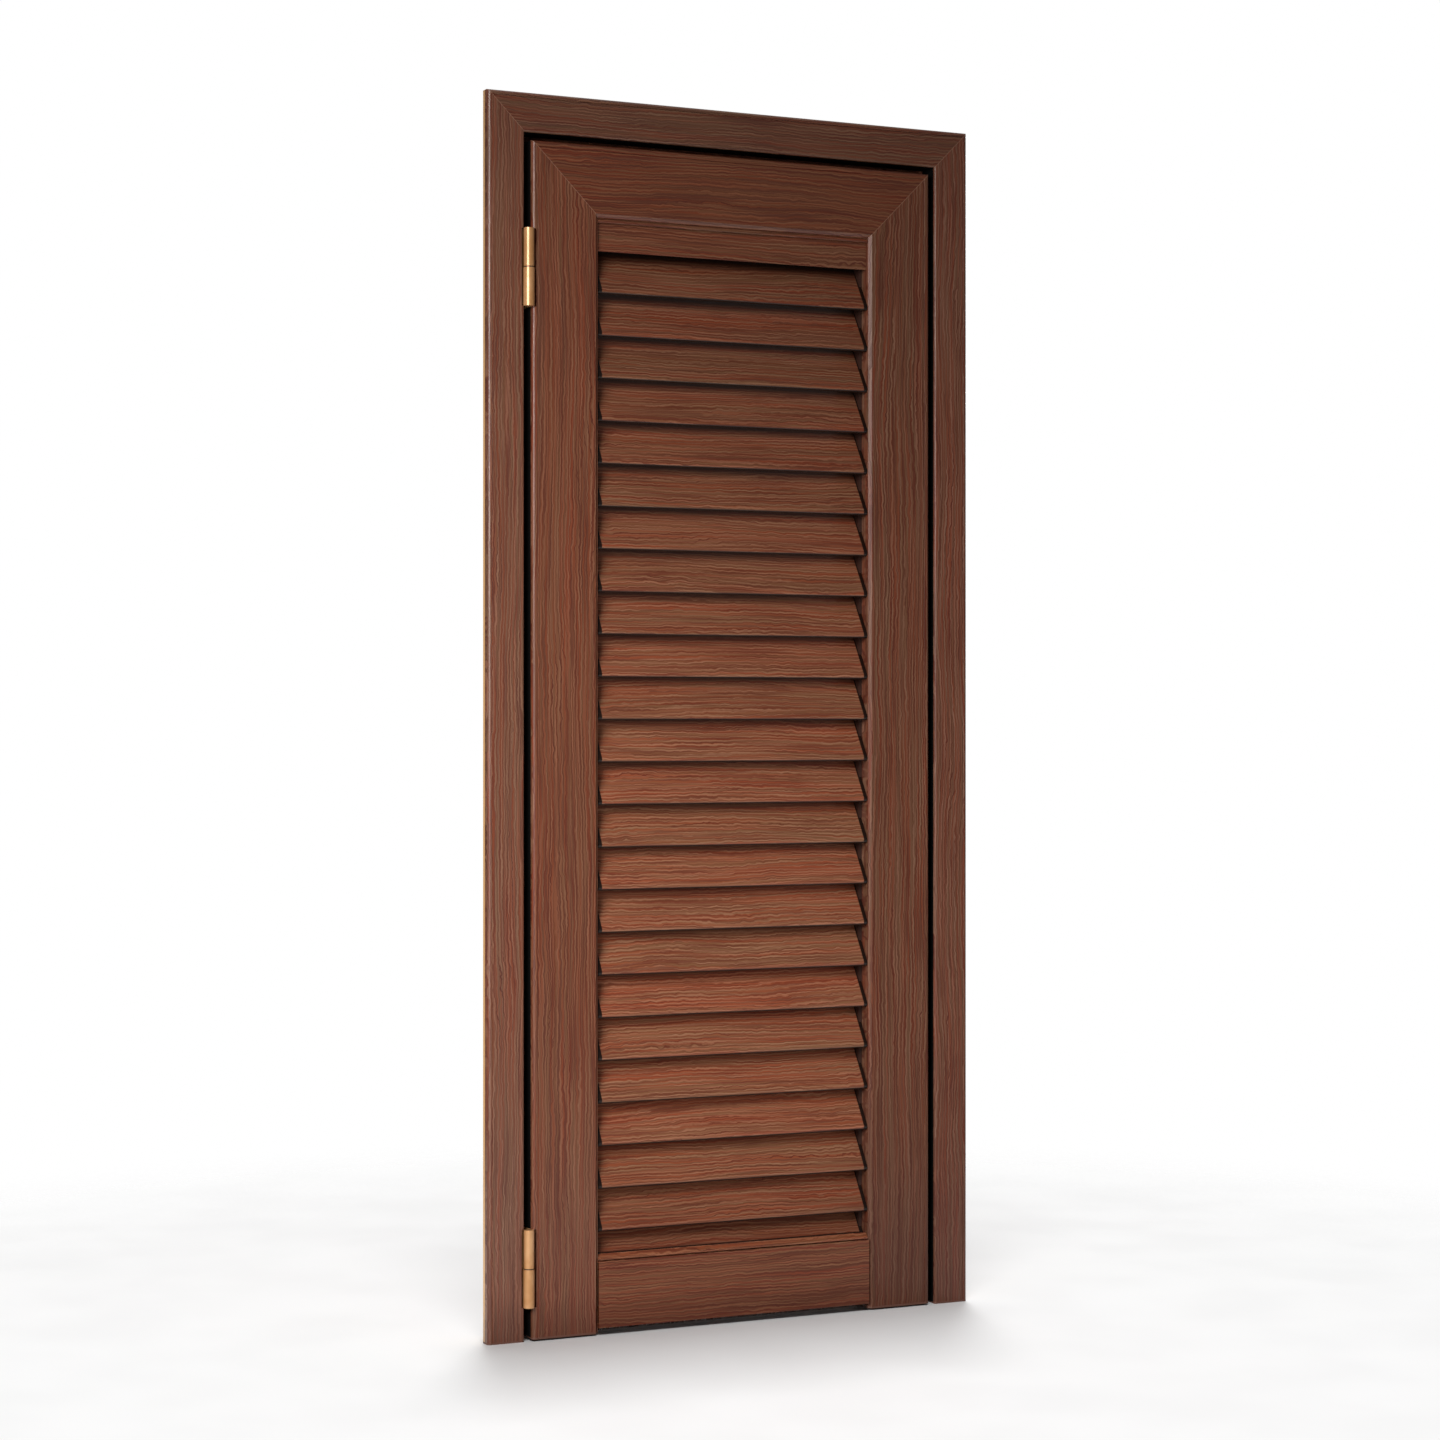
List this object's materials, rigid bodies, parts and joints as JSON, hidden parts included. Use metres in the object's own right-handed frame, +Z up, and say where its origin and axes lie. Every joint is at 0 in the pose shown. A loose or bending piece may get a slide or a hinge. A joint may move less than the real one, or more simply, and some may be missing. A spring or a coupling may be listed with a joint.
{
  "type": "louvred shutter door with frame",
  "caption": "Single-leaf louvred shutter door with fixed slats, hung on barrel hinges in a mitred three-sided frame, finished as dark brown wood.",
  "frame": {"origin": "bottom centre of the whole object's box: middle of the width and depth, at floor level", "axes": "+X to the right seen from outside, +Y from the outside face to the back, +Z up"},
  "size_m": [0.902, 0.0822, 2.05],
  "materials": {
    "frame_profiles": "powder coat with a printed dark brown wood grain, satin; ochre base coat left bare on the rear half of the flange's edge",
    "leaf_profiles": "powder coat with a printed dark brown wood grain, satin",
    "slats": "powder coat with a printed dark brown wood grain along the slat, satin",
    "trims": "powder coat with a printed dark brown wood grain, satin",
    "joining_blocks": "plain mill-finish aluminium",
    "plastic_parts": "dark brown moulded plastic, matt",
    "rubber": "black sealing rubber, matt",
    "brush": "dark brown-grey bristle pile in a plastic strip",
    "steel": "zinc-plated steel",
    "washer_plastic": "black bearing plastic",
    "brass": "satin lacquered brass"
  },
  "bodies": {
    "frame": {"jamb_left": "frame_profiles", "jamb_right": "frame_profiles", "head": "frame_profiles", "stop_left": "frame_profiles", "stop_right": "frame_profiles", "stop_head": "frame_profiles", "frame_cleat_left": "joining_blocks", "frame_cleat_right": "joining_blocks", "jamb_foot_left": "plastic_parts", "jamb_foot_right": "plastic_parts", "reveal_lining": "rubber", "stop_seal": "rubber", "lower_hinge_frame_leaf": "brass", "upper_hinge_frame_leaf": "brass", "lower_hinge_pin": "steel", "upper_hinge_pin": "steel", "hinge_washers": "washer_plastic", "frame_hinge_screws": "steel"},
    "leaf": {"stile_left": "leaf_profiles", "stile_right": "leaf_profiles", "top_rail": "leaf_profiles", "bottom_rail": "leaf_profiles", "leaf_cleat_left": "joining_blocks", "leaf_cleat_right": "joining_blocks", "stile_foot_left": "plastic_parts", "stile_foot_right": "plastic_parts", "rail_bracket_left": "joining_blocks", "rail_bracket_right": "joining_blocks", "rail_screws": "steel", "top_trim": "trims", "bottom_trim": "trims", "slat_comb_left": "plastic_parts", "slat_comb_right": "plastic_parts", "edge_lining": "rubber", "bottom_brush": "brush", "lower_hinge_door_leaf": "brass", "upper_hinge_door_leaf": "brass", "leaf_hinge_screws": "steel", "slat_01": "slats", "slat_02": "slats", "slat_03": "slats", "slat_04": "slats", "slat_05": "slats", "slat_06": "slats", "slat_07": "slats", "slat_08": "slats", "slat_09": "slats", "slat_10": "slats", "slat_11": "slats", "slat_12": "slats", "slat_13": "slats", "slat_14": "slats", "slat_15": "slats", "slat_16": "slats", "slat_17": "slats", "slat_18": "slats", "slat_19": "slats", "slat_20": "slats", "slat_21": "slats", "slat_22": "slats", "slat_23": "slats", "slat_24": "slats"}
  },
  "joints": [
    {"name": "leaf_hinge", "type": "hinge", "parent": "frame", "child": "leaf", "pos_m": [-0.37975, -0.03188, 0], "axis": [0, 0, -1], "range_deg": [0, 180]}
  ]
}
